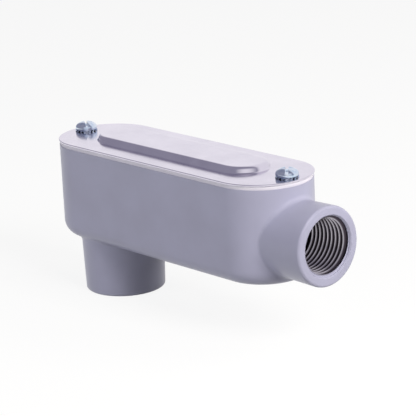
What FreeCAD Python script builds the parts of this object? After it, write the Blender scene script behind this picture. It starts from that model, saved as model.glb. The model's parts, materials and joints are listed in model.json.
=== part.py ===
import FreeCAD, Part
import Sketcher

import math
import os

# Half-inch type LB conduit body: a hollow round-ended casting whose two threaded hubs stand at
# right angles, one on its end and one on its back, closed by a stamped cover on a soft gasket.
# Millimetres, +Z up. The origin is the centre of the back hub's mouth, +X points to the end hub.

DRIVING_SIZES = [
    # casting shell
    ("casting_length", 117.0),
    ("casting_width", 35.5),
    ("casting_height", 34.1),
    ("casting_wall", 2.6),
    ("casting_floor", 2.8),
    ("bottom_round", 5.6),
    ("inner_round", 3.0),
    # back hub, which stands below the closed end of the shell
    ("back_hub_length", 20.25),
    ("back_hub_offset", 35.3),
    ("back_hub_tip_dia", 29.1),
    ("back_hub_root_dia", 30.4),
    ("back_thread_depth", 18.0),
    # end hub, which stands on the other end of the shell
    ("end_hub_length", 13.2),
    ("end_hub_drop", 18.75),
    ("end_hub_tip_dia", 27.8),
    ("end_hub_root_dia", 27.2),
    ("end_thread_depth", 19.6),
    # what both hubs share
    ("thread_bore_dia", 20.9),
    ("mouth_chamfer", 0.45),
    ("throat_dia", 15.8),
    ("throat_web", 3.6),
    ("throat_round", 1.2),
    ("socket_wall", 3.0),
    ("hub_root_round", 2.0),
    ("hub_lip_round", 1.0),
    # bosses that take the cover screws
    ("screw_inset", 5.3),
    ("boss_dia", 8.8),
    ("boss_depth", 9.2),
    ("tapped_depth", 7.4),
    ("tapped_clearance", 0.05),
    # stamped cover
    ("sheet_thickness", 0.6),
    ("cover_overhang", 0.25),
    ("panel_length", 82.3),
    ("panel_width", 18.5),
    ("panel_height", 2.2),
    ("panel_slope", 16.0),
    ("panel_top_round", 1.7),
    ("panel_root_round", 0.6),
    ("cover_hole_clearance", 0.3),
    # gasket
    ("gasket_thickness", 1.4),
    ("gasket_border", 3.0),
    ("gasket_end_land", 9.8),
    ("gasket_inset", 0.1),
    ("gasket_hole_clearance", 0.45),
    # cover screws
    ("screw_dia", 4.1),
    ("screw_length", 9.5),
    ("screw_tip_chamfer", 0.6),
    ("head_dia", 7.9),
    ("head_height", 2.9),
    ("head_side", 1.3),
    ("head_crown_dia", 4.6),
    ("slot_width", 1.15),
    ("slot_depth", 1.25),
    ("cross_width", 1.2),
    ("cross_span", 4.3),
    ("cross_depth", 1.7),
    # lock washers
    ("washer_dia", 8.4),
    ("washer_thickness", 0.55),
    ("washer_bore_clearance", 0.12),
    ("washer_tooth_depth", 1.05),
    ("washer_gap_width", 0.7),
    ("washer_teeth", 16),
]

doc = FreeCAD.newDocument("conduit_body")
sizes = doc.addObject("Spreadsheet::Sheet", "Sizes")
for row, (alias, value) in enumerate(DRIVING_SIZES, start=1):
    sizes.set(f"A{row}", alias)
    sizes.set(f"B{row}", str(value))
    sizes.setAlias(f"B{row}", alias)
doc.recompute()

# heights and places that several pieces share
RIM = "(Sizes.back_hub_length + Sizes.casting_height)"
MIDDLE = "Sizes.back_hub_offset"
CASTING_END = f"({MIDDLE} + Sizes.casting_length / 2)"
CAVITY_END = f"({CASTING_END} - Sizes.casting_wall)"
HUB_FACE = f"({CASTING_END} + Sizes.end_hub_length)"
HUB_AXIS = f"({RIM} - Sizes.end_hub_drop)"
END_BORE_BOTTOM = f"({HUB_FACE} - Sizes.end_thread_depth)"
FLOOR_TOP = "(Sizes.back_hub_length + Sizes.casting_floor)"
GASKET_TOP = f"({RIM} + Sizes.gasket_thickness)"
COVER_TOP = f"({GASKET_TOP} + Sizes.sheet_thickness)"
HEAD_SEAT = f"({COVER_TOP} + Sizes.washer_thickness)"
SCREW_REACH = "(Sizes.casting_length / 2 - Sizes.screw_inset)"

parts = []


def value_of(expression):
    """The number that an expression of the sheet's cells gives now."""
    result = sizes.evalExpression(expression)
    return float(getattr(result, "Value", result))


def new_part(label, x="0", y="0", z="0"):
    """A body with its own origin, placed where its three expressions say."""
    body = doc.addObject("PartDesign::Body", label)
    body.Label = label
    for axis, expression in (("x", x), ("y", y), ("z", z)):
        body.setExpression(f"Placement.Base.{axis}", f"({expression}) * 1mm")
    parts.append(body)
    return body


def new_sketch(body, name, role, x="0", y="0", z="0"):
    """An empty sketch on one of the body's own planes, moved by x, y and z in the sketch's axes."""
    sketch = body.newObject("Sketcher::SketchObject", name)
    plane = next(item for item in body.Origin.OriginFeatures if item.Role == role)
    sketch.AttachmentSupport = [(plane, "")]
    sketch.MapMode = "FlatFace"
    for axis, expression in (("x", x), ("y", y), ("z", z)):
        sketch.setExpression(f"AttachmentOffset.Base.{axis}", f"({expression}) * 1mm")
    return sketch


def drive(sketch, name, constraint, expression):
    """Adds a dimension to the sketch and ties it to an expression."""
    number = sketch.addConstraint(Sketcher.Constraint(*constraint, value_of(expression)))
    sketch.renameConstraint(number, name)
    sketch.setExpression(f"Constraints.{name}", f"({expression}) * 1mm")


def draw_stadium(sketch, length, width):
    """A round-ended slot outline about the sketch's origin, long way along its X."""
    radius = value_of(width) / 2
    reach = value_of(length) / 2 - radius
    up = FreeCAD.Vector(0, 0, 1)
    right = Part.Circle(FreeCAD.Vector(reach, 0, 0), up, radius)
    left = Part.Circle(FreeCAD.Vector(-reach, 0, 0), up, radius)
    sketch.addGeometry(Part.ArcOfCircle(right, -math.pi / 2, math.pi / 2))
    sketch.addGeometry(Part.ArcOfCircle(left, math.pi / 2, 3 * math.pi / 2))
    near = [FreeCAD.Vector(-reach, -radius, 0), FreeCAD.Vector(reach, -radius, 0)]
    far = [FreeCAD.Vector(reach, radius, 0), FreeCAD.Vector(-reach, radius, 0)]
    sketch.addGeometry(Part.LineSegment(*near))
    sketch.addGeometry(Part.LineSegment(*far))
    for first, first_end, second, second_end in ((2, 2, 0, 1), (0, 2, 3, 1), (3, 2, 1, 1), (1, 2, 2, 1)):
        sketch.addConstraint(Sketcher.Constraint("Tangent", first, first_end, second, second_end))
    sketch.addConstraint(Sketcher.Constraint("PointOnObject", 0, 3, -1))
    sketch.addConstraint(Sketcher.Constraint("Symmetric", 0, 3, 1, 3, -1, 1))
    drive(sketch, "end_radius", ("Radius", 0), f"({width}) / 2")
    drive(sketch, "centres", ("DistanceX", 1, 3, 0, 3), f"({length}) - ({width})")


def draw_circle(sketch, name, diameter, x="0"):
    """A circle on the sketch's X axis."""
    centre = FreeCAD.Vector(value_of(x), 0, 0)
    number = sketch.addGeometry(Part.Circle(centre, FreeCAD.Vector(0, 0, 1), value_of(diameter) / 2))
    drive(sketch, f"{name}_radius", ("Radius", number), f"({diameter}) / 2")
    if x == "0":
        sketch.addConstraint(Sketcher.Constraint("Coincident", number, 3, -1, 1))
        return
    sketch.addConstraint(Sketcher.Constraint("PointOnObject", number, 3, -1))
    drive(sketch, f"{name}_place", ("DistanceX", -1, 1, number, 3), x)


def draw_outline(sketch, corners):
    """A closed outline of straight sides through corners given as pairs of expressions."""
    points = [FreeCAD.Vector(value_of(x), value_of(y), 0) for x, y in corners]
    for number, start in enumerate(points):
        sketch.addGeometry(Part.LineSegment(start, points[(number + 1) % len(points)]))
    for number in range(len(points)):
        following = (number + 1) % len(points)
        sketch.addConstraint(Sketcher.Constraint("Coincident", number, 2, following, 1))
    for number, (x, y) in enumerate(corners):
        if x == "0":
            sketch.addConstraint(Sketcher.Constraint("PointOnObject", number, 1, -2))
        else:
            drive(sketch, f"x{number}", ("DistanceX", -1, 1, number, 1), x)
        if y == "0":
            sketch.addConstraint(Sketcher.Constraint("PointOnObject", number, 1, -1))
        else:
            drive(sketch, f"y{number}", ("DistanceY", -1, 1, number, 1), y)


def settle(feature):
    """Recomputes the document and stops at once if the feature failed."""
    doc.recompute()
    if "Invalid" in feature.State or feature.Shape.isNull():
        raise RuntimeError(f"{feature.Label} failed: {feature.getStatusString()}")


def add_feature(body, kind, name, sketch=None, **settings):
    """A PartDesign feature; a setting given as text is an expression, any other is set as it is."""
    feature = body.newObject(f"PartDesign::{kind}", name)
    if sketch is not None:
        feature.Profile = sketch
        sketch.Visibility = False
    for key, setting in settings.items():
        if isinstance(setting, str) and key != "Type":
            unit = "deg" if key in ("Angle", "TaperAngle") else "mm"
            feature.setExpression(key, f"({setting}) * 1{unit}")
        else:
            setattr(feature, key, setting)
    body.Tip = feature
    settle(feature)
    return feature


def revolve(body, kind, name, sketch, axis):
    """A full turn of the sketch about its own H_Axis or V_Axis."""
    return add_feature(body, kind, name, sketch, ReferenceAxis=(sketch, [axis]), Angle=360.0)


def add_round(body, name, radius, chosen):
    """A fillet on the edges of the body's last feature for which chosen(edge) holds."""
    base = body.Tip
    edges = [f"Edge{number}" for number, edge in enumerate(base.Shape.Edges, start=1) if chosen(edge)]
    if not edges:
        raise RuntimeError(f"{body.Label}: no edge for {name}")
    fillet = body.newObject("PartDesign::Fillet", name)
    fillet.Base = (base, edges)
    fillet.setExpression("Radius", f"({radius}) * 1mm")
    body.Tip = fillet
    settle(fillet)
    return fillet


def level(edge, height):
    """Whether a whole edge lies at one height."""
    box = edge.BoundBox
    return abs(box.ZMin - height) < 1e-4 and abs(box.ZMax - height) < 1e-4


def ring_along_x(edge, x, radius):
    """Whether an edge is a circle of this radius, in the plane at x."""
    box = edge.BoundBox
    flat = abs(box.XMin - x) < 1e-4 and abs(box.XMax - x) < 1e-4
    return flat and hasattr(edge.Curve, "Radius") and abs(edge.Curve.Radius - radius) < 1e-4


def ring_along_z(edge, z, radius):
    """Whether an edge is a circle of this radius, at height z."""
    return level(edge, z) and hasattr(edge.Curve, "Radius") and abs(edge.Curve.Radius - radius) < 1e-4


# --- casting: one die-cast piece, painted, with tapped bosses and rounded throats ---------------

casting = new_part("conduit_body_casting")

outline = new_sketch(casting, "shell_outline", "XY_Plane", x=MIDDLE, z="Sizes.back_hub_length")
draw_stadium(outline, "Sizes.casting_length", "Sizes.casting_width")
add_feature(casting, "Pad", "shell", outline, Length="Sizes.casting_height")
shell_bottom = value_of("Sizes.back_hub_length")
add_round(casting, "shell_bottom_round", "Sizes.bottom_round", lambda edge: level(edge, shell_bottom))

profile = new_sketch(casting, "end_hub_profile", "XZ_Plane", y=HUB_AXIS)
END_CENTRE = f"({CASTING_END} - Sizes.casting_width / 2)"
END_HUB_SLOPE = "(Sizes.end_hub_root_dia - Sizes.end_hub_tip_dia) / 2 / Sizes.end_hub_length"
draw_outline(
    profile,
    [
        (END_CENTRE, "0"),
        (END_CENTRE, f"Sizes.end_hub_root_dia / 2 + {END_HUB_SLOPE} * Sizes.casting_width / 2"),
        (HUB_FACE, "Sizes.end_hub_tip_dia / 2"),
        (HUB_FACE, "0"),
    ],
)
revolve(casting, "Revolution", "end_hub", profile, "H_Axis")

profile = new_sketch(casting, "back_hub_profile", "XZ_Plane")
BACK_HUB_SLOPE = "(Sizes.back_hub_root_dia - Sizes.back_hub_tip_dia) / 2 / Sizes.back_hub_length"
draw_outline(
    profile,
    [
        ("0", "0"),
        ("Sizes.back_hub_tip_dia / 2", "0"),
        (f"Sizes.back_hub_root_dia / 2 + {BACK_HUB_SLOPE} * Sizes.casting_floor", FLOOR_TOP),
        ("0", FLOOR_TOP),
    ],
)
revolve(casting, "Revolution", "back_hub", profile, "V_Axis")

hub_face = value_of(HUB_FACE)
end_tip_radius = value_of("Sizes.end_hub_tip_dia / 2")
back_tip_radius = value_of("Sizes.back_hub_tip_dia / 2")
add_round(
    casting,
    "hub_lip_rounds",
    "Sizes.hub_lip_round",
    lambda edge: ring_along_x(edge, hub_face, end_tip_radius) or ring_along_z(edge, 0, back_tip_radius),
)


def hub_root_edges(is_hub_wall, is_root):
    """The curved edges at the root of a hub, where its outer wall leaves the shell."""
    walls = [face for face in casting.Tip.Shape.Faces if is_hub_wall(face.BoundBox)]
    edges = [edge for wall in walls for edge in wall.Edges if not isinstance(edge.Curve, Part.Line)]
    return [edge for edge in edges if is_root(edge.BoundBox)]


casting_end = value_of(CASTING_END)
past_end_wall = (casting_end + hub_face) / 2
end_root = hub_root_edges(lambda box: box.XMax > past_end_wall, lambda box: box.XMax < past_end_wall)
# the wall left below the end hub and beside the back hub limits how large their root rounds can be
MOST_BELOW_END_HUB = "1.2 * (Sizes.casting_height - Sizes.end_hub_drop - Sizes.end_hub_root_dia / 2)"
MOST_BESIDE_BACK_HUB = "0.8 * (Sizes.casting_width - Sizes.back_hub_root_dia) / 2"
add_round(
    casting,
    "end_hub_root_round",
    f"min(Sizes.hub_root_round; {MOST_BELOW_END_HUB})",
    lambda edge: any(edge.isSame(root_edge) for root_edge in end_root),
)
half_way_up = shell_bottom / 2
back_root = hub_root_edges(lambda box: box.ZMin < half_way_up, lambda box: box.ZMin > half_way_up)
add_round(
    casting,
    "back_hub_root_round",
    f"min(Sizes.hub_root_round; {MOST_BESIDE_BACK_HUB})",
    lambda edge: any(edge.isSame(root_edge) for root_edge in back_root),
)

cavity = new_sketch(casting, "cavity_outline", "XY_Plane", x=MIDDLE, z=RIM)
draw_stadium(cavity, "Sizes.casting_length - 2 * Sizes.casting_wall", "Sizes.casting_width - 2 * Sizes.casting_wall")
add_feature(casting, "Pocket", "cavity", cavity, Length="Sizes.casting_height - Sizes.casting_floor")
floor_top = value_of(FLOOR_TOP)
add_round(casting, "cavity_bottom_round", "Sizes.inner_round", lambda edge: level(edge, floor_top))

# the end hub goes on inside the cavity, as a socket that holds the thread's inner turns and the throat
WEB_FACE = f"({END_BORE_BOTTOM} - Sizes.throat_web)"
socket = new_sketch(casting, "end_socket_outline", "YZ_Plane", y=HUB_AXIS, z=WEB_FACE)
draw_circle(socket, "socket", "Sizes.thread_bore_dia + 2 * Sizes.socket_wall")
add_feature(casting, "Pad", "end_socket", socket, Length=f"{CAVITY_END} + Sizes.casting_wall / 2 - {WEB_FACE}")

bosses = new_sketch(casting, "boss_outlines", "XY_Plane", x=MIDDLE, z=RIM)
draw_circle(bosses, "hub_end", "Sizes.boss_dia", SCREW_REACH)
draw_circle(bosses, "closed_end", "Sizes.boss_dia", f"-{SCREW_REACH}")
add_feature(casting, "Pad", "screw_bosses", bosses, Length="Sizes.boss_depth", Reversed=True)

profile = new_sketch(casting, "end_bore_profile", "XZ_Plane", y=HUB_AXIS)
draw_outline(
    profile,
    [
        (HUB_FACE, "0"),
        (HUB_FACE, "Sizes.thread_bore_dia / 2 + Sizes.mouth_chamfer"),
        (f"{HUB_FACE} - Sizes.mouth_chamfer", "Sizes.thread_bore_dia / 2"),
        (END_BORE_BOTTOM, "Sizes.thread_bore_dia / 2"),
        (END_BORE_BOTTOM, "Sizes.throat_dia / 2"),
        (f"{WEB_FACE} - Sizes.throat_web", "Sizes.throat_dia / 2"),
        (f"{WEB_FACE} - Sizes.throat_web", "0"),
    ],
)
revolve(casting, "Groove", "end_bore", profile, "H_Axis")

profile = new_sketch(casting, "back_bore_profile", "XZ_Plane")
draw_outline(
    profile,
    [
        ("0", "0"),
        ("Sizes.thread_bore_dia / 2 + Sizes.mouth_chamfer", "0"),
        ("Sizes.thread_bore_dia / 2", "Sizes.mouth_chamfer"),
        ("Sizes.thread_bore_dia / 2", "Sizes.back_thread_depth"),
        ("Sizes.throat_dia / 2", "Sizes.back_thread_depth"),
        ("Sizes.throat_dia / 2", f"{FLOOR_TOP} + Sizes.casting_floor"),
        ("0", f"{FLOOR_TOP} + Sizes.casting_floor"),
    ],
)
revolve(casting, "Groove", "back_bore", profile, "V_Axis")

throat_radius = value_of("Sizes.throat_dia / 2")
web_face = value_of(WEB_FACE)
end_bore_bottom = value_of(END_BORE_BOTTOM)
back_bore_bottom = value_of("Sizes.back_thread_depth")
add_round(
    casting,
    "throat_rounds",
    "Sizes.throat_round",
    lambda edge: ring_along_x(edge, web_face, throat_radius)
    or ring_along_x(edge, end_bore_bottom, throat_radius)
    or ring_along_z(edge, floor_top, throat_radius)
    or ring_along_z(edge, back_bore_bottom, throat_radius),
)

TAPPED_DIA = "(Sizes.screw_dia + 2 * Sizes.tapped_clearance)"
taps = new_sketch(casting, "tapped_hole_outlines", "XY_Plane", x=MIDDLE, z=RIM)
draw_circle(taps, "hub_end", TAPPED_DIA, SCREW_REACH)
draw_circle(taps, "closed_end", TAPPED_DIA, f"-{SCREW_REACH}")
add_feature(casting, "Pocket", "tapped_holes", taps, Length="Sizes.tapped_depth")

# --- gasket: one die-cut ring of soft foam between the rim and the cover ------------------------

gasket = new_part("gasket", x=MIDDLE, z=RIM)
outline = new_sketch(gasket, "gasket_outline", "XY_Plane")
draw_stadium(
    outline,
    "Sizes.casting_length - 2 * Sizes.gasket_inset",
    "Sizes.casting_width - 2 * Sizes.gasket_inset",
)
add_feature(gasket, "Pad", "gasket_sheet", outline, Length="Sizes.gasket_thickness")
opening = new_sketch(gasket, "gasket_opening_outline", "XY_Plane", z="Sizes.gasket_thickness")
draw_stadium(
    opening,
    "Sizes.casting_length - 2 * Sizes.gasket_end_land",
    "Sizes.casting_width - 2 * Sizes.gasket_border",
)
add_feature(gasket, "Pocket", "gasket_opening", opening, Length="Sizes.gasket_thickness")
GASKET_HOLE_DIA = "(Sizes.screw_dia + 2 * Sizes.gasket_hole_clearance)"
holes = new_sketch(gasket, "gasket_hole_outlines", "XY_Plane", z="Sizes.gasket_thickness")
draw_circle(holes, "hub_end", GASKET_HOLE_DIA, SCREW_REACH)
draw_circle(holes, "closed_end", GASKET_HOLE_DIA, f"-{SCREW_REACH}")
add_feature(gasket, "Pocket", "gasket_holes", holes, Length="Sizes.gasket_thickness")

# --- cover: one stamped sheet with a raised, hollow panel ---------------------------------------

cover = new_part("cover_plate", x=MIDDLE, z=GASKET_TOP)
outline = new_sketch(cover, "cover_outline", "XY_Plane")
draw_stadium(
    outline,
    "Sizes.casting_length + 2 * Sizes.cover_overhang",
    "Sizes.casting_width + 2 * Sizes.cover_overhang",
)
add_feature(cover, "Pad", "cover_sheet", outline, Length="Sizes.sheet_thickness")
panel = new_sketch(cover, "panel_outline", "XY_Plane", z="Sizes.sheet_thickness")
draw_stadium(panel, "Sizes.panel_length", "Sizes.panel_width")
add_feature(cover, "Pad", "panel", panel, Length="Sizes.panel_height", TaperAngle="-Sizes.panel_slope")
sheet_top = value_of("Sizes.sheet_thickness")
panel_top = value_of("Sizes.sheet_thickness + Sizes.panel_height")
panel_side = value_of("Sizes.panel_width / 2")
add_round(cover, "panel_top_round", "Sizes.panel_top_round", lambda edge: level(edge, panel_top))
add_round(
    cover,
    "panel_root_round",
    "Sizes.panel_root_round",
    lambda edge: level(edge, sheet_top) and edge.BoundBox.YMax < panel_side + 0.01
    and edge.BoundBox.YMin > -panel_side - 0.01,
)
hollow = new_sketch(cover, "panel_hollow_outline", "XY_Plane")
HOLLOW_SHRINK = "2 * Sizes.sheet_thickness"
draw_stadium(hollow, f"Sizes.panel_length - {HOLLOW_SHRINK}", f"Sizes.panel_width - {HOLLOW_SHRINK}")
add_feature(
    cover,
    "Pocket",
    "panel_hollow",
    hollow,
    Length="Sizes.panel_height",
    TaperAngle="-Sizes.panel_slope",
    Reversed=True,
)
hollow_top = value_of("Sizes.panel_height")
add_round(
    cover,
    "panel_hollow_round",
    "Sizes.panel_top_round - Sizes.sheet_thickness",
    lambda edge: level(edge, hollow_top),
)
COVER_HOLE_DIA = "(Sizes.screw_dia + 2 * Sizes.cover_hole_clearance)"
holes = new_sketch(cover, "cover_hole_outlines", "XY_Plane", z="Sizes.sheet_thickness")
draw_circle(holes, "hub_end", COVER_HOLE_DIA, SCREW_REACH)
draw_circle(holes, "closed_end", COVER_HOLE_DIA, f"-{SCREW_REACH}")
add_feature(cover, "Pocket", "cover_holes", holes, Length="Sizes.sheet_thickness")


# --- cover screws: pan heads with a slot and a cross, seated on their lock washers --------------


def make_screw(label, x):
    """A pan-head machine screw whose origin is the middle of its seat, head up."""
    screw = new_part(label, x=x, z=HEAD_SEAT)
    blank = new_sketch(screw, "screw_profile", "XZ_Plane")
    draw_outline(
        blank,
        [
            ("0", "-Sizes.screw_length"),
            ("Sizes.screw_dia / 2 - Sizes.screw_tip_chamfer", "-Sizes.screw_length"),
            ("Sizes.screw_dia / 2", "Sizes.screw_tip_chamfer - Sizes.screw_length"),
            ("Sizes.screw_dia / 2", "0"),
            ("Sizes.head_dia / 2", "0"),
            ("Sizes.head_dia / 2", "Sizes.head_side"),
            ("Sizes.head_crown_dia / 2", "Sizes.head_height"),
            ("0", "Sizes.head_height"),
        ],
    )
    revolve(screw, "Revolution", "screw_blank", blank, "V_Axis")
    slot = new_sketch(screw, "slot_outline", "XY_Plane", z="Sizes.head_height")
    half = "Sizes.head_dia / 2 + Sizes.slot_width"
    draw_outline(
        slot,
        [
            (f"-({half})", "-Sizes.slot_width / 2"),
            (half, "-Sizes.slot_width / 2"),
            (half, "Sizes.slot_width / 2"),
            (f"-({half})", "Sizes.slot_width / 2"),
        ],
    )
    add_feature(screw, "Pocket", "slot", slot, Length="Sizes.slot_depth")
    for name, long_x in (("cross_bar", True), ("cross_arm", False)):
        bar = new_sketch(screw, f"{name}_outline", "XY_Plane", z="Sizes.head_height")
        long_half, short_half = "Sizes.cross_span / 2", "Sizes.cross_width / 2"
        half_x, half_y = (long_half, short_half) if long_x else (short_half, long_half)
        draw_outline(
            bar,
            [
                (f"-({half_x})", f"-({half_y})"),
                (half_x, f"-({half_y})"),
                (half_x, half_y),
                (f"-({half_x})", half_y),
            ],
        )
        add_feature(screw, "Pocket", name, bar, Length="Sizes.cross_depth")


def make_lock_washer(label, x):
    """A flat spring-steel ring with teeth cut round its rim."""
    washer = new_part(label, x=x, z=COVER_TOP)
    ring = new_sketch(washer, "ring_outline", "XY_Plane")
    draw_circle(ring, "rim", "Sizes.washer_dia")
    draw_circle(ring, "bore", "Sizes.screw_dia + 2 * Sizes.washer_bore_clearance")
    add_feature(washer, "Pad", "ring", ring, Length="Sizes.washer_thickness")
    gap = new_sketch(washer, "tooth_gap_outline", "XY_Plane", z="Sizes.washer_thickness")
    root = "Sizes.washer_dia / 2 - Sizes.washer_tooth_depth"
    past = "Sizes.washer_dia / 2 + Sizes.washer_gap_width"
    draw_outline(
        gap,
        [
            (root, "-Sizes.washer_gap_width / 2"),
            (past, "-Sizes.washer_gap_width / 2"),
            (past, "Sizes.washer_gap_width / 2"),
            (root, "Sizes.washer_gap_width / 2"),
        ],
    )
    first_gap = add_feature(washer, "Pocket", "tooth_gap", gap, Length="Sizes.washer_thickness")
    gaps = washer.newObject("PartDesign::PolarPattern", "tooth_gaps")
    gaps.Originals = [first_gap]
    gaps.Axis = (gap, ["N_Axis"])
    gaps.Angle = 360.0
    gaps.setExpression("Occurrences", "Sizes.washer_teeth")
    washer.Tip = gaps
    settle(gaps)


for end, x in (("hub_end", f"{MIDDLE} + {SCREW_REACH}"), ("closed_end", f"{MIDDLE} - {SCREW_REACH}")):
    make_lock_washer(f"lock_washer_{end}", x)
    make_screw(f"cover_screw_{end}", x)

# --- every feature and shape is checked before anything is written ------------------------------

doc.recompute()
for item in doc.Objects:
    if "Invalid" in item.State or "Error" in item.State:
        raise RuntimeError(f"{item.Label} failed: {item.State}")
os.makedirs("parts", exist_ok=True)
for part in parts:
    shape = part.Shape
    if shape.isNull() or not shape.isValid() or len(shape.Solids) != 1:
        raise RuntimeError(f"{part.Label} is not one sound solid")
    print(part.Label, round(shape.Volume, 2), [round(c, 3) for c in shape.BoundBox.Center])
for part in parts:
    part.Shape.exportStep(f"parts/{part.Label}.step")
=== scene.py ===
import json
import math

import bmesh
import bpy
from mathutils import Matrix, Vector


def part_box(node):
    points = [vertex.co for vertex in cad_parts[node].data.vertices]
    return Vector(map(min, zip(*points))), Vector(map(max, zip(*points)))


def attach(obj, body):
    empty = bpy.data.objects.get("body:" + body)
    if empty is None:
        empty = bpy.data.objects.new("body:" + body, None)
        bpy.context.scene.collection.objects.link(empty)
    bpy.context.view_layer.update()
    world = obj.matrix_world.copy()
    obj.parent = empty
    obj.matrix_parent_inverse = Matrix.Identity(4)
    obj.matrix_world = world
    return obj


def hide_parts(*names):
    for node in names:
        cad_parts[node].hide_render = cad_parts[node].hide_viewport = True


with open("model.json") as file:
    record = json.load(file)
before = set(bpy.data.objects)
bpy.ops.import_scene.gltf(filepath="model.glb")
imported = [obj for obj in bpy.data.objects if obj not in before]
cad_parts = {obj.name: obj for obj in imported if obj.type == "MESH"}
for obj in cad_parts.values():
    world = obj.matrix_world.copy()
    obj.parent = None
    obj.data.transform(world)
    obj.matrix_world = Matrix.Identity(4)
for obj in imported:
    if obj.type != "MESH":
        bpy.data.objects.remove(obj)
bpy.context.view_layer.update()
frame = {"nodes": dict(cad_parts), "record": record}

# ================================================================ painted die-cast body
# One aluminium die casting: round-ended shell, end hub, back hub and inner screw bosses. It is
# sprayed with grey enamel inside and out, then the hub bores are machined, so their walls are bare
# metal. Its shape is the frame's own, with the loose triangles joined.

MM = 0.001
CASTING = "conduit_body_casting"
THREAD_ROOT_RADIUS = frame["record"]["mounts"][0]["dims"]["r_mm"] * MM
MOUNTS = {mount["name"]: mount for mount in frame["record"]["mounts"]}
END_HUB_FACE_X, _, END_HUB_Z = MOUNTS["end_hub_thread"]["pos_m"]
END_THREAD_LENGTH = MOUNTS["end_hub_thread"]["dims"]["length_mm"] * MM
BACK_THREAD_LENGTH = MOUNTS["back_hub_thread"]["dims"]["length_mm"] * MM
SMOOTH_ANGLE = math.radians(32)
CREST_RADIUS = THREAD_ROOT_RADIUS - 1.14 * MM
BORE_MARGIN = 0.6 * MM


def linear(hex_colour):
    """An sRGB colour such as "9A9AAE" as the linear RGBA that shaders take."""
    channels = [int(hex_colour[i : i + 2], 16) / 255 for i in (0, 2, 4)]
    return tuple(c / 12.92 if c <= 0.04045 else ((c + 0.055) / 1.055) ** 2.4 for c in channels) + (1,)


def add_node(tree, kind, links=(), **settings):
    """Adds a node. A setting named after an input sets that input, any other sets a property of the
    node; links are pairs of an input (name or number) and the socket that feeds it."""
    node = tree.nodes.new(kind)
    inputs = {}
    for key, value in settings.items():
        if hasattr(type(node), key) or key in node.bl_rna.properties:
            setattr(node, key, value)
        else:
            inputs[key] = value
    for key, value in inputs.items():
        names = [socket.name.replace(" ", "_") for socket in node.inputs]
        node.inputs[int(key[5:]) if key.startswith("input") else names.index(key)].default_value = value
    for key, source in links:
        tree.links.new(source, node.inputs[key])
    return node


def new_material(name):
    """A material with one Principled surface. Returns it, its node tree and the surface's node."""
    material = bpy.data.materials.new(name)
    material.use_nodes = True
    tree = material.node_tree
    return material, tree, tree.nodes["Principled BSDF"]


def ramp(tree, source, low, high, first, last):
    """Maps a value from low..high to first..last, clamped."""
    return add_node(
        tree,
        "ShaderNodeMapRange",
        links=[("Value", source)],
        input1=low,
        input2=high,
        input3=first,
        input4=last,
    ).outputs["Result"]


def noise(tree, size_mm, stretch=(1, 1, 1), detail=2.0):
    """Noise in Object coordinates whose lumps are size_mm across, stretched along the axes."""
    place = add_node(tree, "ShaderNodeTexCoord").outputs["Object"]
    scale = tuple(1 / (size_mm * MM * s) for s in stretch)
    mapped = add_node(tree, "ShaderNodeMapping", links=[("Vector", place)], Scale=scale)
    return add_node(
        tree,
        "ShaderNodeTexNoise",
        links=[("Vector", mapped.outputs["Vector"])],
        Scale=1.0,
        Detail=detail,
        Roughness=0.5,
    ).outputs["Fac"]


def blend_colours(tree, amount, first, second):
    """The colour between two hex colours."""
    # the colour sockets are the third pair of sockets named A and B
    return add_node(
        tree,
        "ShaderNodeMix",
        links=[("Factor", amount)],
        data_type="RGBA",
        input6=linear(first),
        input7=linear(second),
    ).outputs[2]


def add_bump(tree, shader, height, depth_mm):
    """Raises the surface by a height of 0 to 1 times depth_mm."""
    bump = add_node(
        tree, "ShaderNodeBump", links=[("Height", height)], Strength=1.0, Distance=depth_mm * MM
    )
    tree.links.new(bump.outputs["Normal"], shader.inputs["Normal"])


def grey_enamel():
    """Baked grey enamel sprayed on a casting: a soft sheen with faint orange peel about 1.5 mm
    across, and a slightly uneven tone where the coat is thicker."""
    material, tree, shader = new_material("grey_enamel")
    cloud = noise(tree, 14, detail=3)
    colour = blend_colours(tree, ramp(tree, cloud, 0.3, 0.7, 0, 1), "9494AA", "9A9AB1")
    tree.links.new(colour, shader.inputs["Base Color"])
    peel = noise(tree, 1.5, detail=1)
    tree.links.new(ramp(tree, cloud, 0.3, 0.7, 0.30, 0.38), shader.inputs["Roughness"])
    add_bump(tree, shader, peel, 0.012)
    return material


def distance_off_axis(tree, place, shift, kept):
    """How far a point is from a hub's axis: shift moves the axis to zero and kept drops its own
    direction."""
    moved = add_node(tree, "ShaderNodeVectorMath", operation="ADD", links=[(0, place)], input1=shift)
    flat = add_node(
        tree, "ShaderNodeVectorMath", operation="MULTIPLY", links=[(0, moved.outputs[0])], input1=kept
    )
    length = add_node(tree, "ShaderNodeVectorMath", operation="LENGTH", links=[(0, flat.outputs[0])])
    return length.outputs["Value"]


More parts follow.
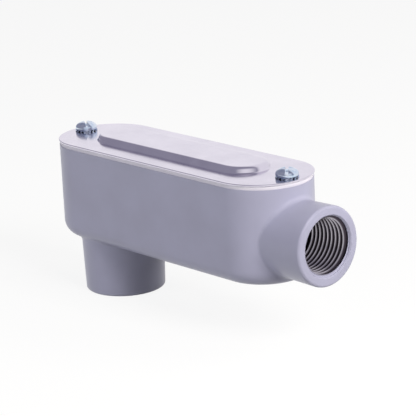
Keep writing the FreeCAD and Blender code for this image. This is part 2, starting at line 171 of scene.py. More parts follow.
def machined_casting():
    """Cast aluminium as a pipe tap leaves it: bright thin crests, rougher roots darkened with painted shade
    towards the root radius, and grey overspray on the first turn at each hub's mouth."""
    material, tree, shader = new_material("machined_cast_aluminium")
    place = add_node(tree, "ShaderNodeTexCoord").outputs["Object"]
    axes = add_node(tree, "ShaderNodeSeparateXYZ", links=[(0, place)]).outputs
    grain = noise(tree, 0.7, detail=2)
    from_end_axis = distance_off_axis(tree, place, (0, 0, -END_HUB_Z), (0, 1, 1))
    from_back_axis = distance_off_axis(tree, place, (0, 0, 0), (1, 1, 0))
    off_axis = add_node(
        tree, "ShaderNodeMath", operation="MINIMUM", links=[(0, from_end_axis), (1, from_back_axis)]
    ).outputs[0]
    # painted shade: below the crests the thread darkens to a near-black purple at its roots, as shade in
    # the grooves
    painted_root_shade = ramp(tree, off_axis, CREST_RADIUS + 0.1 * MM, CREST_RADIUS + 0.55 * MM, 0, 1)
    metal = blend_colours(tree, painted_root_shade, "B4B0B8", "4A434C")
    at_end_mouth = ramp(tree, axes["X"], END_HUB_FACE_X - 1.6 * MM, END_HUB_FACE_X - 0.9 * MM, 0, 1)
    at_back_mouth = ramp(tree, axes["Z"], 1.6 * MM, 0.9 * MM, 0, 1)
    overspray = add_node(
        tree, "ShaderNodeMath", operation="MAXIMUM", links=[(0, at_end_mouth), (1, at_back_mouth)]
    ).outputs[0]
    colour = add_node(
        tree,
        "ShaderNodeMix",
        links=[("Factor", overspray), (6, metal)],
        data_type="RGBA",
        input7=linear("9797AE"),
    ).outputs[2]
    tree.links.new(colour, shader.inputs["Base Color"])
    tree.links.new(ramp(tree, overspray, 0, 1, 1, 0), shader.inputs["Metallic"])
    tree.links.new(ramp(tree, painted_root_shade, 0, 1, 0.22, 0.5), shader.inputs["Roughness"])
    add_bump(tree, shader, grain, 0.01)
    return material


def joined_copy(node, name):
    """A CAD node's surface as one welded, smooth-shaded mesh object."""
    welded = bmesh.new()
    welded.from_mesh(frame["nodes"][node].data)
    bmesh.ops.remove_doubles(welded, verts=welded.verts, dist=2e-6)
    bmesh.ops.dissolve_degenerate(welded, edges=welded.edges, dist=1e-6)
    welded.verts.index_update()
    mesh = bpy.data.meshes.new(name)
    mesh.from_pydata([v.co for v in welded.verts], [], [[v.index for v in f.verts] for f in welded.faces])
    welded.free()
    piece = bpy.data.objects.new(name, mesh)
    bpy.context.scene.collection.objects.link(piece)
    return piece


def is_machined(face):
    """Whether a face of the casting lies in a hub's bore, inside its mouth's chamfer."""
    middle, normal = face.center, face.normal
    off_end = math.hypot(middle.y, middle.z - END_HUB_Z)
    off_back = math.hypot(middle.x, middle.y)
    reach = THREAD_ROOT_RADIUS + 0.02 * MM
    in_end = middle.x > END_HUB_FACE_X - END_THREAD_LENGTH - BORE_MARGIN and off_end < reach
    in_back = middle.z < BACK_THREAD_LENGTH + BORE_MARGIN and off_back < reach
    return in_end or in_back


def finish_piece(piece, material, body, replaced):
    """Smooths a piece between its sharp edges, gives it its material if it has none yet, hangs it on the
    body it rides on, and hides the CAD node it stands for."""
    piece.data.shade_smooth()
    piece.data.set_sharp_from_angle(angle=SMOOTH_ANGLE)
    if material is not None:
        piece.data.materials.clear()
        piece.data.materials.append(material)
    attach(piece, body)
    if replaced is not None:
        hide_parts(replaced)


BARE_METAL = machined_casting()
casting = joined_copy(CASTING, "painted_casting")
casting.data.materials.append(grey_enamel())
casting.data.materials.append(BARE_METAL)
for face in casting.data.polygons:
    face.material_index = 1 if is_machined(face) else 0
finish_piece(casting, None, "casting", CASTING)

# ================================================================ hub threads
# The 1/2-14 pipe thread in both hubs, without its taper: ridges 1.81 mm apart that run out at the
# mouth and at the last turn. One ridge is swept along a helix and set into each bore.

PIPE_THREAD_PITCH = 25.4 / 14 * MM
PIPE_THREAD_HEIGHT = 1.22 * MM
PIPE_THREAD_CREST = 0.22 * MM
PIPE_THREAD_SHORTER = 0.6 * MM
PIPE_THREAD_START = 0.4 * MM
RIDGE_SUNK = 0.08 * MM


def thread_tree(material, side):
    """Geometry Nodes: a ridge of trapezoid section swept along a helix about +Z, fading at its ends.
    Its crest points outwards if side is 1 and inwards if it is -1."""
    tree = bpy.data.node_groups.new("swept_thread", "GeometryNodeTree")
    face = tree.interface
    face.new_socket("Geometry", in_out="OUTPUT", socket_type="NodeSocketGeometry")
    sizes = ("Turns", "Start Radius", "End Radius", "Length", "Ridge Height", "Ridge Base", "Ridge Crest")
    for name in sizes:
        face.new_socket(name, in_out="INPUT", socket_type="NodeSocketFloat")
    face.new_socket("Steps", in_out="INPUT", socket_type="NodeSocketInt")
    given = add_node(tree, "NodeGroupInput").outputs
    helix = add_node(
        tree,
        "GeometryNodeCurveSpiral",
        links=[
            ("Resolution", given["Steps"]),
            ("Rotations", given["Turns"]),
            ("Start Radius", given["Start Radius"]),
            ("End Radius", given["End Radius"]),
            ("Height", given["Length"]),
        ],
    )
    helix.inputs["Reverse"].default_value = True
    upright = add_node(
        tree, "GeometryNodeSetCurveNormal", links=[("Curve", helix.outputs["Curve"])], mode="Z_UP"
    )
    along = add_node(tree, "GeometryNodeSplineParameter").outputs["Factor"]
    rise = add_node(tree, "ShaderNodeMapRange", links=[("Value", along)], input1=0.0, input2=0.07)
    fall = add_node(
        tree, "ShaderNodeMapRange", links=[("Value", along)], input1=1.0, input2=0.93
    )
    fade = add_node(
        tree,
        "ShaderNodeMath",
        links=[(0, rise.outputs["Result"]), (1, fall.outputs["Result"])],
        operation="MINIMUM",
    )
    floor_fade = add_node(tree, "ShaderNodeMath", links=[(0, fade.outputs[0])], operation="MAXIMUM")
    floor_fade.inputs[1].default_value = 0.05
    profile = add_node(
        tree,
        "GeometryNodeCurvePrimitiveQuadrilateral",
        links=[
            ("Height", given["Ridge Height"]),
            ("Bottom Width", given["Ridge Base"]),
            ("Top Width", given["Ridge Crest"]),
        ],
        mode="TRAPEZOID",
    )
    profile.inputs["Offset"].default_value = 0.0
    half = add_node(tree, "ShaderNodeMath", links=[(0, given["Ridge Height"])], operation="MULTIPLY")
    half.inputs[1].default_value = side / 2
    shift = add_node(tree, "ShaderNodeCombineXYZ", links=[("X", half.outputs[0])])
    # a quarter turn points the ridge's crest along the profile's X, which follows the radius
    raised = add_node(
        tree,
        "GeometryNodeTransform",
        links=[("Geometry", profile.outputs["Curve"]), ("Translation", shift.outputs["Vector"])],
        Rotation=(0, 0, -side * math.pi / 2),
    )
    swept = add_node(
        tree,
        "GeometryNodeCurveToMesh",
        links=[
            ("Curve", upright.outputs["Curve"]),
            ("Profile Curve", raised.outputs["Geometry"]),
            ("Scale", floor_fade.outputs[0]),
        ],
    )
    swept.inputs["Fill Caps"].default_value = True
    whole = add_node(
        tree, "GeometryNodeRealizeInstances", links=[("Geometry", swept.outputs["Mesh"])]
    )
    painted = add_node(
        tree, "GeometryNodeSetMaterial", links=[("Geometry", whole.outputs["Geometry"])], Material=material
    )
    add_node(tree, "NodeGroupOutput", links=[(0, painted.outputs["Geometry"])])
    return tree


def from_tree(name, tree, **values):
    """The mesh that a tree makes with these inputs, as a plain object with no modifier."""
    maker = bpy.data.objects.new(name + "_maker", bpy.data.meshes.new(name + "_maker"))
    bpy.context.scene.collection.objects.link(maker)
    modifier = maker.modifiers.new("make", "NODES")
    modifier.node_group = tree
    for item in tree.interface.items_tree:
        key = item.name.replace(" ", "_")
        if item.in_out == "INPUT" and key in values:
            modifier[item.identifier] = values[key]
    bpy.context.view_layer.update()
    evaluated = maker.evaluated_get(bpy.context.evaluated_depsgraph_get())
    mesh = bpy.data.meshes.new_from_object(evaluated)
    mesh.name = name
    bpy.data.objects.remove(maker)
    piece = bpy.data.objects.new(name, mesh)
    bpy.context.scene.collection.objects.link(piece)
    return piece


def face_outwards(piece):
    """Turns a closed mesh's faces to point out of its material."""
    loose = bmesh.new()
    loose.from_mesh(piece.data)
    bmesh.ops.remove_doubles(loose, verts=loose.verts, dist=1e-7)
    bmesh.ops.recalc_face_normals(loose, faces=loose.faces)
    loose.to_mesh(piece.data)
    loose.free()


pipe_thread = thread_tree(BARE_METAL, -1)


def make_hub_thread(name, length, mouth, outward):
    """One hub's thread, from its mouth inwards; outward is the hub's direction."""
    run = length - PIPE_THREAD_SHORTER
    piece = from_tree(
        name,
        pipe_thread,
        Turns=run / PIPE_THREAD_PITCH,
        Start_Radius=THREAD_ROOT_RADIUS + RIDGE_SUNK,
        End_Radius=THREAD_ROOT_RADIUS + RIDGE_SUNK,
        Length=run,
        Ridge_Height=PIPE_THREAD_HEIGHT,
        Ridge_Base=PIPE_THREAD_PITCH * 0.98,
        Ridge_Crest=PIPE_THREAD_CREST,
        Steps=72,
    )
    turn = Vector((0, 0, -1)).rotation_difference(outward).to_matrix().to_4x4()
    piece.data.transform(Matrix.Translation(mouth) @ turn @ Matrix.Translation((0, 0, PIPE_THREAD_START)))
    face_outwards(piece)
    finish_piece(piece, None, "casting", None)


END_HUB_MOUTH = Vector((END_HUB_FACE_X, 0, END_HUB_Z))
make_hub_thread("end_hub_thread", END_THREAD_LENGTH, END_HUB_MOUTH, Vector((1, 0, 0)))
make_hub_thread("back_hub_thread", BACK_THREAD_LENGTH, Vector((0, 0, 0)), Vector((0, 0, -1)))

# ================================================================ gasket
# A ring of pale closed-cell foam, die-cut and squeezed between the rim and the cover, so its edge
# bulges slightly and shows a fine matt grain.

gasket_low, gasket_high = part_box("gasket")
OUTLINE_STEPS = 48
GASKET_BORDER = 2.9 * MM
GASKET_END_LAND = 9.7 * MM
GASKET_BULGE = 0.12 * MM
GASKET_HOLE_RADIUS = 2.5 * MM


def stadium(middle, half_length, half_width, height, steps=OUTLINE_STEPS):
    """Points round a round-ended outline, anticlockwise, at one height."""
    reach = max(half_length - half_width, 0)
    points = []
    for side, start in ((1, -math.pi / 2), (-1, math.pi / 2)):
        for step in range(steps + 1):
            turn = start + math.pi * step / steps
            x = middle.x + side * reach + half_width * math.cos(turn)
            points.append((x, middle.y + half_width * math.sin(turn), height))
    return points


def stack_rings(name, rings, closed=False):
    """A mesh through rings of equally many points, each given bottom to top along its surface. The
    first and last ring are joined if closed, and otherwise each is capped."""
    mesh = bmesh.new()
    rows = [[mesh.verts.new(point) for point in ring] for ring in rings]
    count = len(rows[0])
    pairs = list(zip(rows, rows[1:])) + ([(rows[-1], rows[0])] if closed else [])
    for low, high in pairs:
        for i in range(count):
            j = (i + 1) % count
            mesh.faces.new((low[i], low[j], high[j], high[i]))
    if not closed:
        mesh.faces.new(list(reversed(rows[0])))
        mesh.faces.new(rows[-1])
    bmesh.ops.recalc_face_normals(mesh, faces=mesh.faces)
    data = bpy.data.meshes.new(name)
    mesh.to_mesh(data)
    mesh.free()
    piece = bpy.data.objects.new(name, data)
    bpy.context.scene.collection.objects.link(piece)
    return piece


def apply_modifiers(piece):
    """Makes the piece a plain mesh of what its modifiers give."""
    bpy.context.view_layer.update()
    evaluated = piece.evaluated_get(bpy.context.evaluated_depsgraph_get())
    mesh = bpy.data.meshes.new_from_object(evaluated)
    piece.modifiers.clear()
    old = piece.data
    piece.data = mesh
    mesh.name = old.name
    bpy.data.meshes.remove(old)


def cut_holes(piece, cutters):
    """Cuts each cutter's shape out of the piece and removes the cutter."""
    for cutter in cutters:
        modifier = piece.modifiers.new("cut", "BOOLEAN")
        modifier.operation = "DIFFERENCE"
        modifier.solver = "EXACT"
        modifier.object = cutter
    apply_modifiers(piece)
    for cutter in cutters:
        bpy.data.objects.remove(cutter)


def round_cutter(middle, radius, low, high, steps=64):
    """An upright cylinder to cut with."""
    rings = [
        [
            (
                middle.x + radius * math.cos(math.tau * i / steps),
                middle.y + radius * math.sin(math.tau * i / steps),
                z,
            )
            for i in range(steps)
        ]
        for z in (low, high)
    ]
    return stack_rings("cutter", rings)


def screw_places():
    """Each screw's end name and the middle of its seat."""
    places = {}
    for end in ("hub_end", "closed_end"):
        low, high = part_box(f"cover_screw_{end}")
        washer_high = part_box(f"lock_washer_{end}")[1]
        places[end] = Vector(((low.x + high.x) / 2, (low.y + high.y) / 2, washer_high.z))
    return places


SCREW_PLACES = screw_places()


def pale_foam():
    """Closed-cell foam gasket: matt, off-white, with pores about 0.3 mm across."""
    material, tree, shader = new_material("closed_cell_foam")
    pores = noise(tree, 0.35, detail=2)
    cloud = noise(tree, 6)
    tree.links.new(
        blend_colours(tree, ramp(tree, cloud, 0.3, 0.7, 0, 1), "CBC8D5", "D2CFDA"),
        shader.inputs["Base Color"],
    )
    shader.inputs["Roughness"].default_value = 0.85
    add_bump(tree, shader, pores, 0.04)
    return material


def make_gasket():
    """The foam ring with its bulged outer edge and two screw holes."""
    middle = (gasket_low + gasket_high) / 2
    half = (gasket_high - gasket_low) / 2
    outer, inner = [], []
    steps = 6
    for step in range(steps + 1):
        height = gasket_low.z + (gasket_high.z - gasket_low.z) * step / steps
        swell = GASKET_BULGE * (math.sin(math.pi * step / steps) - 1)
        outer.append(stadium(middle, half.x + swell, half.y + swell, height))
    for step in reversed(range(0, steps + 1, 2)):
        height = gasket_low.z + (gasket_high.z - gasket_low.z) * step / steps
        inner.append(stadium(middle, half.x - GASKET_END_LAND, half.y - GASKET_BORDER, height))
    piece = stack_rings("foam_gasket", outer + inner, closed=True)
    cut_holes(
        piece,
        [
            round_cutter(place, GASKET_HOLE_RADIUS, gasket_low.z - MM, gasket_high.z + MM)
            for place in SCREW_PLACES.values()
        ],
    )
    finish_piece(piece, pale_foam(), "casting", "gasket")


make_gasket()

# ================================================================ cover plate
# One sheet of bright aluminium, blanked and stamped: the raised panel is hollow behind, its bends
# are rounded, and shearing has rolled the upper edge of the sheet over. Two holes take the screws.

cover_low, cover_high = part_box("cover_plate")
SHEET = 0.6 * MM
PANEL_HALF_LENGTH = 41.15 * MM
PANEL_HALF_WIDTH = 9.25 * MM
PANEL_SLOPE = math.radians(16)
PANEL_TOP_ROUND = 1.7 * MM
PANEL_ROOT_ROUND = 0.6 * MM
EDGE_ROUND = 0.22 * MM
BURR_ROUND = 0.06 * MM
COVER_HOLE_RADIUS = 2.35 * MM


def stamped_aluminium():
    """Mill-finish aluminium sheet: a bright, slightly hazy metal with faint rolling lines along its
    length, and gentle unevenness from the stamping press."""
    material, tree, shader = new_material("stamped_aluminium_sheet")
    shader.inputs["Metallic"].default_value = 1.0
    lines = noise(tree, 0.25, stretch=(60, 1, 1), detail=2)
    cloud = noise(tree, 9, detail=3)
    colour = blend_colours(tree, ramp(tree, cloud, 0.35, 0.65, 0, 1), "D6D2DE", "DEDAE5")
    tree.links.new(colour, shader.inputs["Base Color"])
    tree.links.new(ramp(tree, lines, 0.3, 0.7, 0.13, 0.2), shader.inputs["Roughness"])
    add_bump(tree, shader, lines, 0.002)
    return material


def bend_arc(centre, radius, start, end, steps):
    """Points (inset, height) round a bend of the stamped section."""
    turns = [start + (end - start) * step / steps for step in range(steps + 1)]
    return [(centre[0] + radius * math.cos(t), centre[1] + radius * math.sin(t)) for t in turns]


def panel_section(low, high, root_round, top_round):
    """The section of the raised panel's wall from the flat sheet at low to its top at high, as
    (inset, height) pairs. Inset grows from the panel's foot towards its middle."""
    slope = math.pi / 2 - PANEL_SLOPE
    tangent = math.tan(slope / 2)
    run = (high - low) / math.tan(slope)
    root = (-root_round * tangent, low + root_round)
    top = (run + top_round * tangent, high - top_round)
    section = bend_arc(root, root_round, -math.pi / 2, slope - math.pi / 2, 6)
    return section + bend_arc(top, top_round, slope + math.pi / 2, math.pi / 2, 8)


def cover_rings():
    """Half length, half width and height of each ring of the cover's skin: from the middle of the
    panel's top, down and out to the sheet's edge, round it and back under into the hollow."""
    half = (cover_high - cover_low) / 2
    low, top = cover_low.z, cover_low.z + SHEET
    outer = panel_section(top, cover_high.z, PANEL_ROOT_ROUND, PANEL_TOP_ROUND)
    flat_inset = outer[-1][0]
    insets = [flat_inset + (PANEL_HALF_WIDTH - flat_inset) * share for share in (0.95, 0.6, 0.3, 0.1)]
    skin = [(PANEL_HALF_LENGTH - inset, PANEL_HALF_WIDTH - inset, cover_high.z) for inset in insets]
    skin += [(PANEL_HALF_LENGTH - inset, PANEL_HALF_WIDTH - inset, z) for inset, z in reversed(outer)]
    edge = [(1.5 * MM, top), (0.6 * MM, top)]
    edge += bend_arc((EDGE_ROUND, top - EDGE_ROUND), EDGE_ROUND, math.pi / 2, math.pi, 5)
    edge += [(0, low + BURR_ROUND), (BURR_ROUND, low), (1.5 * MM, low)]
    skin += [(half.x - inset, half.y - inset, z) for inset, z in edge]
    under = panel_section(low, cover_high.z - SHEET, PANEL_ROOT_ROUND + SHEET / 2, PANEL_TOP_ROUND - SHEET)
    skin += [(PANEL_HALF_LENGTH - SHEET - inset, PANEL_HALF_WIDTH - SHEET - inset, z) for inset, z in under]
    last = under[-1][0] + SHEET
    insets = [last + (PANEL_HALF_WIDTH - last) * share for share in (0.3, 0.95)]
    roof = cover_high.z - SHEET
    return skin + [(PANEL_HALF_LENGTH - inset, PANEL_HALF_WIDTH - inset, roof) for inset in insets]


def make_cover():
    """The stamped cover with its two screw holes."""
    middle = (cover_low + cover_high) / 2
    rings = [stadium(middle, length, width, height) for length, width, height in cover_rings()]
    piece = stack_rings("stamped_cover", rings)
    holes = [
        round_cutter(place, COVER_HOLE_RADIUS, cover_low.z - MM, cover_high.z + MM)
        for place in SCREW_PLACES.values()
    ]
    cut_holes(piece, holes)
    finish_piece(piece, stamped_aluminium(), "casting", "cover_plate")


make_cover()

# ================================================================ lock washers
# Under each screw head lies a stamped steel ring with sixteen twisted teeth round its rim, which
# bite into the cover and the head. It is zinc plated like the screw and rises with it.

WASHER_TEETH = 16
WASHER_SHEET = 0.32 * MM
WASHER_BORE_RADIUS = 2.17 * MM
TOOTH_LENGTH = 1.05 * MM
TOOTH_WIDTH = 0.86 * MM
TOOTH_TWIST = math.radians(17)


def zinc_plating():
    """Bright zinc plating over steel, with a clear bluish passivate: smooth and mirror-like, with
    slight haze and a colour that shifts a little from place to place."""
    material, tree, shader = new_material("bright_zinc_plating")
    shader.inputs["Metallic"].default_value = 1.0
    cloud = noise(tree, 1.6, detail=2)
    colour = blend_colours(tree, ramp(tree, cloud, 0.35, 0.65, 0, 1), "C0D0E4", "DAE2EC")
    tree.links.new(colour, shader.inputs["Base Color"])
    tree.links.new(ramp(tree, cloud, 0.3, 0.7, 0.07, 0.14), shader.inputs["Roughness"])
    add_bump(tree, shader, noise(tree, 0.9, detail=2), 0.02)
    return material


ZINC = zinc_plating()


def washer_tree():
    """Geometry Nodes: a flat ring with twisted teeth standing out of its rim, about the origin."""
    tree = bpy.data.node_groups.new("toothed_washer", "GeometryNodeTree")
    face = tree.interface
    face.new_socket("Geometry", in_out="OUTPUT", socket_type="NodeSocketGeometry")
    for name in ("Bore Radius", "Ring Width", "Sheet", "Tooth Length", "Tooth Width", "Tooth Twist"):
        face.new_socket(name, in_out="INPUT", socket_type="NodeSocketFloat")
    face.new_socket("Teeth", in_out="INPUT", socket_type="NodeSocketInt")
    given = add_node(tree, "NodeGroupInput").outputs

    def work(operation, first, second):
        result = add_node(tree, "ShaderNodeMath", operation=operation, links=[(0, first)])
        if isinstance(second, float):
            result.inputs[1].default_value = second
        else:
            tree.links.new(second, result.inputs[1])
        return result.outputs[0]

    half_width = work("MULTIPLY", given["Ring Width"], 0.5)
    ring_radius = work("ADD", given["Bore Radius"], half_width)
    circle = add_node(
        tree, "GeometryNodeCurvePrimitiveCircle", links=[("Radius", ring_radius)], Resolution=96
    )
    band = add_node(
        tree,
        "GeometryNodeCurvePrimitiveQuadrilateral",
        links=[("Width", given["Ring Width"]), ("Height", given["Sheet"])],
    )
    ring = add_node(
        tree,
        "GeometryNodeCurveToMesh",
        links=[("Curve", circle.outputs["Curve"]), ("Profile Curve", band.outputs["Curve"])],
    )
    rim = work("ADD", given["Bore Radius"], given["Ring Width"])
    half_tooth = work("MULTIPLY", given["Tooth Length"], 0.5)
    tooth_middle = work("SUBTRACT", work("ADD", rim, half_tooth), work("MULTIPLY", given["Sheet"], 0.5))
    tooth_circle = add_node(tree, "GeometryNodeCurvePrimitiveCircle", links=[("Radius", tooth_middle)])
    places = add_node(
        tree,
        "GeometryNodeCurveToPoints",
        links=[("Curve", tooth_circle.outputs["Curve"]), ("Count", given["Teeth"])],
        mode="COUNT",
    )
    size = add_node(
        tree,
        "ShaderNodeCombineXYZ",
        links=[("X", given["Tooth Width"]), ("Y", given["Tooth Length"]), ("Z", given["Sheet"])],
    )
    block = add_node(
        tree, "GeometryNodeMeshCube", links=[("Size", size.outputs["Vector"])], Vertices_Y=4
    )
    twist = add_node(tree, "ShaderNodeCombineXYZ", links=[("Y", given["Tooth Twist"])])
    tooth = add_node(
        tree,
        "GeometryNodeTransform",
        links=[("Geometry", block.outputs["Mesh"]), ("Rotation", twist.outputs["Vector"])],
    )
    turned = add_node(
        tree,
        "FunctionNodeAlignRotationToVector",
        links=[("Vector", add_node(tree, "GeometryNodeInputPosition").outputs["Position"])],
        axis="Y",
        pivot_axis="Z",
    )
    teeth = add_node(
        tree,
        "GeometryNodeInstanceOnPoints",
        links=[
            ("Points", places.outputs["Points"]),
            ("Instance", tooth.outputs["Geometry"]),
            ("Rotation", turned.outputs["Rotation"]),
        ],
    )
    both = add_node(tree, "GeometryNodeJoinGeometry")
    tree.links.new(teeth.outputs["Instances"], both.inputs[0])
    tree.links.new(ring.outputs["Mesh"], both.inputs[0])
    whole = add_node(tree, "GeometryNodeRealizeInstances", links=[("Geometry", both.outputs["Geometry"])])
    plated = add_node(
        tree, "GeometryNodeSetMaterial", links=[("Geometry", whole.outputs["Geometry"])], Material=ZINC
    )
    add_node(tree, "NodeGroupOutput", links=[(0, plated.outputs["Geometry"])])
    return tree


toothed_washer = washer_tree()
for end, seat in SCREW_PLACES.items():
    washer_low, washer_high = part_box(f"lock_washer_{end}")
    washer = from_tree(
        f"toothed_washer_{end}",
        toothed_washer,
        Bore_Radius=WASHER_BORE_RADIUS,
        Ring_Width=(washer_high.x - washer_low.x) / 2 - WASHER_BORE_RADIUS - TOOTH_LENGTH,
        Sheet=WASHER_SHEET,
        Tooth_Length=TOOTH_LENGTH,
        Tooth_Width=TOOTH_WIDTH,
        Tooth_Twist=TOOTH_TWIST,
        Teeth=WASHER_TEETH,
    )
    washer.data.transform(Matrix.Translation((washer_low + washer_high) / 2))
    face_outwards(washer)
    finish_piece(washer, None, f"{end}_washer", f"lock_washer_{end}")

# ================================================================ cover screws
# Two #8-32 pan-head steel screws, cold-headed with a combined slot and cross recess, thread
# rolled, zinc plated. Each was driven home to its own angle, so the two slots don't line up.

HEAD_RADIUS = 3.95 * MM
HEAD_HEIGHT = 2.9 * MM
HEAD_SIDE = 0.75 * MM
SCREW_THREAD_RADIUS = 2.05 * MM
SCREW_THREAD_HEIGHT = 0.48 * MM
SCREW_PITCH = 25.4 / 32 * MM
SLOT_WIDTH = 1.15 * MM
SLOT_DEPTH = 1.55 * MM
CROSS_WIDTH = 1.2 * MM
CROSS_SPAN = 4.3 * MM
CROSS_DEPTH = 1.9 * MM
RECESS_TAPER = 0.35 * MM
HEAD_BEVEL = 0.07 * MM
TIP_CHAMFER = 0.4 * MM
SCREW_TURNS = {"hub_end": math.radians(-46), "closed_end": math.radians(-31)}


def turned_piece(name, section, steps=96):
    """A closed mesh turned about +Z from (radius, height) pairs; ends at radius 0 close to a point."""
    mesh = bmesh.new()
    rows = []
    for radius, height in section:
        if radius == 0:
            rows.append([mesh.verts.new((0, 0, height))] * steps)
            continue
        turns = [math.tau * step / steps for step in range(steps)]
        rows.append([mesh.verts.new((radius * math.cos(t), radius * math.sin(t), height)) for t in turns])
    for low, high in zip(rows, rows[1:]):
        for i in range(steps):
            j = (i + 1) % steps
            corners = [low[i], low[j], high[j], high[i]]
            mesh.faces.new([v for n, v in enumerate(corners) if v not in corners[:n]])
    bmesh.ops.recalc_face_normals(mesh, faces=mesh.faces)
    data = bpy.data.meshes.new(name)
    mesh.to_mesh(data)
    mesh.free()
    piece = bpy.data.objects.new(name, data)
    bpy.context.scene.collection.objects.link(piece)
    return piece


def head_section():
    """The pan head's outline from its shank to the middle of its crown: a short straight side that
    rolls over into a low dome."""
    section = [(SCREW_THREAD_RADIUS, 0), (HEAD_RADIUS - 0.15 * MM, 0), (HEAD_RADIUS, 0.15 * MM)]
    turns = [math.pi / 2 * step / 12 for step in range(12)]
    dome = HEAD_HEIGHT - HEAD_SIDE
    section += [(HEAD_RADIUS * math.cos(turn), HEAD_SIDE + dome * math.sin(turn)) for turn in turns]
    return section + [(0, HEAD_HEIGHT)]


def wedge_cutter(half_length, half_width, low, high, taper):
    """A box to cut a recess with, whose foot is smaller by taper on each side."""

    def corners(shrink, height):
        x, y = half_length - shrink, half_width - shrink
        return [(-x, -y, height), (x, -y, height), (x, y, height), (-x, y, height)]

    return stack_rings("cutter", [corners(taper, low), corners(0, high)])


def make_screw(end, seat):
    """One screw with its head on seat, its recesses turned to the angle it was driven to."""
    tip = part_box(f"cover_screw_{end}")[0].z - seat.z
    core = SCREW_THREAD_RADIUS - SCREW_THREAD_HEIGHT
    section = [(0, tip), (core - TIP_CHAMFER, tip), (core, tip + TIP_CHAMFER), (core, -1.2 * MM)]
    section += [(SCREW_THREAD_RADIUS - 0.12 * MM, -0.9 * MM)] + head_section()
    piece = turned_piece(f"pan_head_screw_{end}", section)
    top = HEAD_HEIGHT + 0.4 * MM
    cutters = [
        wedge_cutter(HEAD_RADIUS * 1.2, SLOT_WIDTH / 2, HEAD_HEIGHT - SLOT_DEPTH, top, 0),
        wedge_cutter(CROSS_SPAN / 2, CROSS_WIDTH / 2, HEAD_HEIGHT - CROSS_DEPTH, top, RECESS_TAPER),
        wedge_cutter(CROSS_WIDTH / 2, CROSS_SPAN / 2, HEAD_HEIGHT - CROSS_DEPTH, top, RECESS_TAPER),
    ]
    cut_holes(piece, cutters)
    bevel = piece.modifiers.new("bevel", "BEVEL")
    bevel.width = HEAD_BEVEL
    bevel.segments = 2
    bevel.limit_method = "ANGLE"
    bevel.angle_limit = math.radians(40)
    apply_modifiers(piece)
    run = -tip - 1.1 * MM
    ridge = from_tree(
        "screw_thread",
        screw_thread,
        Turns=run / SCREW_PITCH,
        Start_Radius=core - 0.03 * MM,
        End_Radius=core - 0.03 * MM,
        Length=run,
        Ridge_Height=SCREW_THREAD_HEIGHT + 0.03 * MM,
        Ridge_Base=SCREW_PITCH * 0.95,
        Ridge_Crest=0.1 * MM,
        Steps=48,
    )
    ridge.data.transform(Matrix.Translation((0, 0, tip + 0.2 * MM)))
    face_outwards(ridge)
    joined = bmesh.new()
    joined.from_mesh(piece.data)
    joined.from_mesh(ridge.data)
    joined.to_mesh(piece.data)
    joined.free()
    bpy.data.objects.remove(ridge)
    turn = Matrix.Rotation(SCREW_TURNS[end], 4, "Z")
    piece.data.transform(Matrix.Translation(seat) @ turn)
    finish_piece(piece, ZINC, f"{end}_screw", f"cover_screw_{end}")


screw_thread = thread_tree(ZINC, 1)
for end, seat in SCREW_PLACES.items():
    make_screw(end, seat)

# ================================================================ studio
# A plain pale floor under the back hub, soft lamps, and the camera.

AIM = Vector((44.34, 3.15, 36.9)) * MM
VIEW_AZIMUTH = math.radians(48.63)
VIEW_ELEVATION = math.radians(15.91)
VIEW_ROLL = math.radians(-2.75)
VIEW_DISTANCE = 730 * MM
VIEW_LENS = 179.5
FLOOR_REACH = 3.0
FLOOR_GLOW = 0.88
FLOOR_BOUNCE = "9C9CA0"
WORLD_LIGHT = 0.21
DIM_SIDE = "9896A6"
SOFT_BOX_HEADING = (0.8, -0.45, 0.5)


def white_where_seen(tree, seen, lit):
    """The first shader where the camera, a reflection or glass sees it, and the lit one elsewhere."""
    path = add_node(tree, "ShaderNodeLightPath").outputs
    shown = path["Is Camera Ray"]
    for other in ("Is Glossy Ray", "Is Transmission Ray"):
        shown = add_node(
            tree, "ShaderNodeMath", operation="MAXIMUM", links=[(0, shown), (1, path[other])]
        ).outputs[0]
    return add_node(tree, "ShaderNodeMixShader", links=[(0, shown), (1, lit), (2, seen)]).outputs[0]


def make_floor():
    """A pale seamless floor, which shows a faint shadow and throws back little light."""
    material, tree, shader = new_material("pale_studio_floor")
    shader.inputs["Base Color"].default_value = linear("F4F4F6")
    shader.inputs["Roughness"].default_value = 0.9
    glow = add_node(tree, "ShaderNodeEmission", Color=(1, 1, 1, 1), Strength=1.0)
    soft = add_node(
        tree,
        "ShaderNodeMixShader",
        links=[(1, shader.outputs[0]), (2, glow.outputs[0])],
        input0=FLOOR_GLOW,
    )
    dim = add_node(tree, "ShaderNodeBsdfDiffuse", Color=linear(FLOOR_BOUNCE))
    seen = white_where_seen(tree, soft.outputs[0], dim.outputs[0])
    tree.links.new(seen, tree.nodes["Material Output"].inputs["Surface"])
    mesh = bpy.data.meshes.new("studio_floor")
    reach = FLOOR_REACH
    corners = [(-reach, -reach, 0), (reach, -reach, 0), (reach, reach, 0), (-reach, reach, 0)]
    mesh.from_pydata(corners, [], [(0, 1, 2, 3)])
    mesh.materials.append(material)
    floor = bpy.data.objects.new("studio_floor", mesh)
    bpy.context.scene.collection.objects.link(floor)


def make_lamp(name, place_mm, size_mm, watts, colour):
    """A soft square lamp that points at the object. Bare metal mirrors the world and not the lamp."""
    lamp = bpy.data.lights.new(name, "AREA")
    lamp.size = size_mm * MM
    lamp.energy = watts
    lamp.color = linear(colour)[:3]
    holder = bpy.data.objects.new(name, lamp)
    holder.location = Vector(place_mm) * MM
    holder.visible_glossy = False
    holder.rotation_euler = (AIM - holder.location).to_track_quat("-Z", "Y").to_euler()
    bpy.context.scene.collection.objects.link(holder)


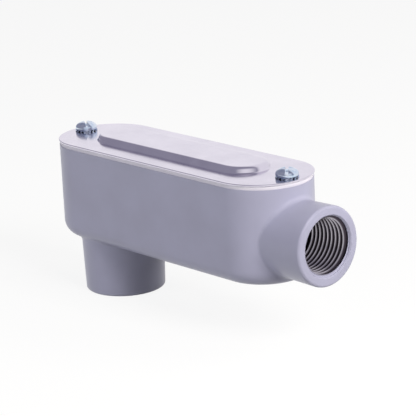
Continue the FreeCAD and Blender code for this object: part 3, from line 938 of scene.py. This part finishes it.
def make_world():
    """White all round to the camera. Reflections see white behind the object and in a soft box
    beside the camera, and a dim lavender studio elsewhere, so that bare metal shows its form."""
    world = bpy.data.worlds.new("soft_studio")
    world.use_nodes = True
    tree = world.node_tree
    lit = tree.nodes["Background"]
    lit.inputs["Color"].default_value = (1, 1, 1, 1)
    lit.inputs["Strength"].default_value = WORLD_LIGHT
    white = add_node(tree, "ShaderNodeBackground", Color=(1, 1, 1, 1), Strength=1.0)
    direction = add_node(tree, "ShaderNodeTexCoord").outputs["Generated"]

    def towards(heading, low, high):
        along = add_node(
            tree, "ShaderNodeVectorMath", operation="DOT_PRODUCT", links=[(0, direction)], input1=heading
        )
        return ramp(tree, along.outputs["Value"], low, high, 0, 1)

    behind = towards((0, 1, 0), 0.3, 0.5)
    soft_box = towards(Vector(SOFT_BOX_HEADING).normalized(), 0.72, 1.0)
    bright = add_node(tree, "ShaderNodeMath", operation="MAXIMUM", links=[(0, behind), (1, soft_box)])
    mirrored = add_node(
        tree,
        "ShaderNodeBackground",
        links=[("Color", blend_colours(tree, bright.outputs[0], DIM_SIDE, "FDFBFF"))],
        Strength=1.0,
    )
    path = add_node(tree, "ShaderNodeLightPath").outputs["Is Glossy Ray"]
    background = add_node(
        tree, "ShaderNodeMixShader", links=[(0, path), (1, white.outputs[0]), (2, mirrored.outputs[0])]
    )
    seen = white_where_seen(tree, background.outputs[0], lit.outputs[0])
    tree.links.new(seen, tree.nodes["World Output"].inputs["Surface"])
    bpy.context.scene.world = world


make_floor()
make_world()
make_lamp("key_lamp", (700, -50, 450), 350, 7.4, "FFFBF3")
make_lamp("front_fill", (-300, -850, 150), 600, 5.3, "FFFFFF")
make_lamp("rim_lamp", (500, 450, 500), 350, 1.8, "FFFBF3")

view = bpy.data.cameras.new("camera")
view.lens = VIEW_LENS
camera = bpy.data.objects.new("camera", view)
turn = Matrix.Rotation(VIEW_AZIMUTH, 4, "Z") @ Matrix.Rotation(math.pi / 2 - VIEW_ELEVATION, 4, "X")
camera.matrix_world = Matrix.Translation(AIM) @ turn @ Matrix.Translation((0, 0, VIEW_DISTANCE))
camera.matrix_world = camera.matrix_world @ Matrix.Rotation(VIEW_ROLL, 4, "Z")
bpy.context.scene.collection.objects.link(camera)
bpy.context.scene.camera = camera
bpy.context.scene.view_settings.view_transform = "Standard"
